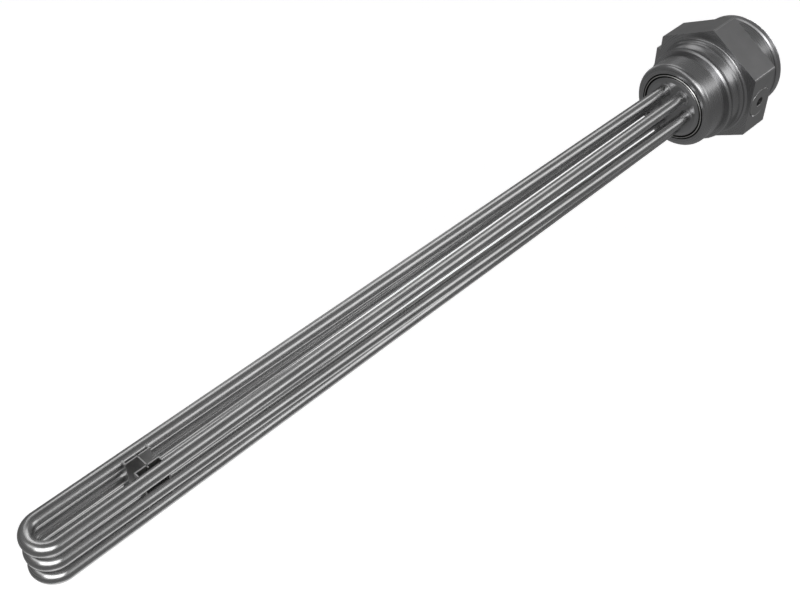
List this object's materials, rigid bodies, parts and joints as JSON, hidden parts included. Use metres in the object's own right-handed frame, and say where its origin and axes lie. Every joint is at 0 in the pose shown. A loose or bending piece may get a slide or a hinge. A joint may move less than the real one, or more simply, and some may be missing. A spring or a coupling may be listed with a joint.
{
  "type": "jacket water heating element",
  "caption": "Screw-in immersion heater: slim U-shaped tubular hairpins in a stack, held by a hexagon plug with a closed terminal chamber.",
  "frame": {"origin": "on the plug's axis, in the plane of the shoulder's seating face", "axes": "+X along the plug's axis towards the hexagon and the cover, hairpins towards -X; +Z through a corner of the hexagon; the cable bushing faces -Y and the square-headed port plug +Y"},
  "size_m": [0.5903, 0.0809, 0.0874],
  "materials": {
    "plug_steel": "turned and milled stainless steel, satin",
    "fitting_steel": "turned stainless steel, satin",
    "weld_metal": "cleaned braze and weld metal",
    "sheath_steel": "drawn stainless tube, satin bright",
    "spacer_sheet": "pressed stainless sheet",
    "terminal_brass": "plain brass",
    "pin_steel": "nickel-plated steel",
    "bush_ceramic": "unglazed steatite",
    "magnesia": "compacted magnesia powder",
    "seal_rubber": "moulded rubber"
  },
  "bodies": {
    "root": {"plug_body": "plug_steel", "header_disc": "plug_steel", "header_weld_ring": "weld_metal", "braze_fillets": "weld_metal", "port_bushing_right": "fitting_steel", "port_plug_left": "fitting_steel", "rear_cover": "plug_steel", "cover_seal": "seal_rubber", "spacer_channel_left": "spacer_sheet", "spacer_channel_right": "spacer_sheet", "spacer_web": "spacer_sheet", "terminal_nuts": "terminal_brass", "terminal_washers": "terminal_brass", "terminal_link_left": "terminal_brass", "terminal_link_right": "terminal_brass", "hairpin_sheath_top": "sheath_steel", "hairpin_sheath_middle": "sheath_steel", "hairpin_sheath_bottom": "sheath_steel", "magnesia_fill_top": "magnesia", "magnesia_fill_middle": "magnesia", "magnesia_fill_bottom": "magnesia", "heating_coil_top": "magnesia", "heating_coil_middle": "magnesia", "heating_coil_bottom": "magnesia", "terminal_pin_top_left": "pin_steel", "terminal_pin_top_right": "pin_steel", "terminal_pin_middle_left": "pin_steel", "terminal_pin_middle_right": "pin_steel", "terminal_pin_bottom_left": "pin_steel", "terminal_pin_bottom_right": "pin_steel", "ceramic_bush_top_left": "bush_ceramic", "ceramic_bush_top_right": "bush_ceramic", "ceramic_bush_middle_left": "bush_ceramic", "ceramic_bush_middle_right": "bush_ceramic", "ceramic_bush_bottom_left": "bush_ceramic", "ceramic_bush_bottom_right": "bush_ceramic"}
  },
  "joints": []
}
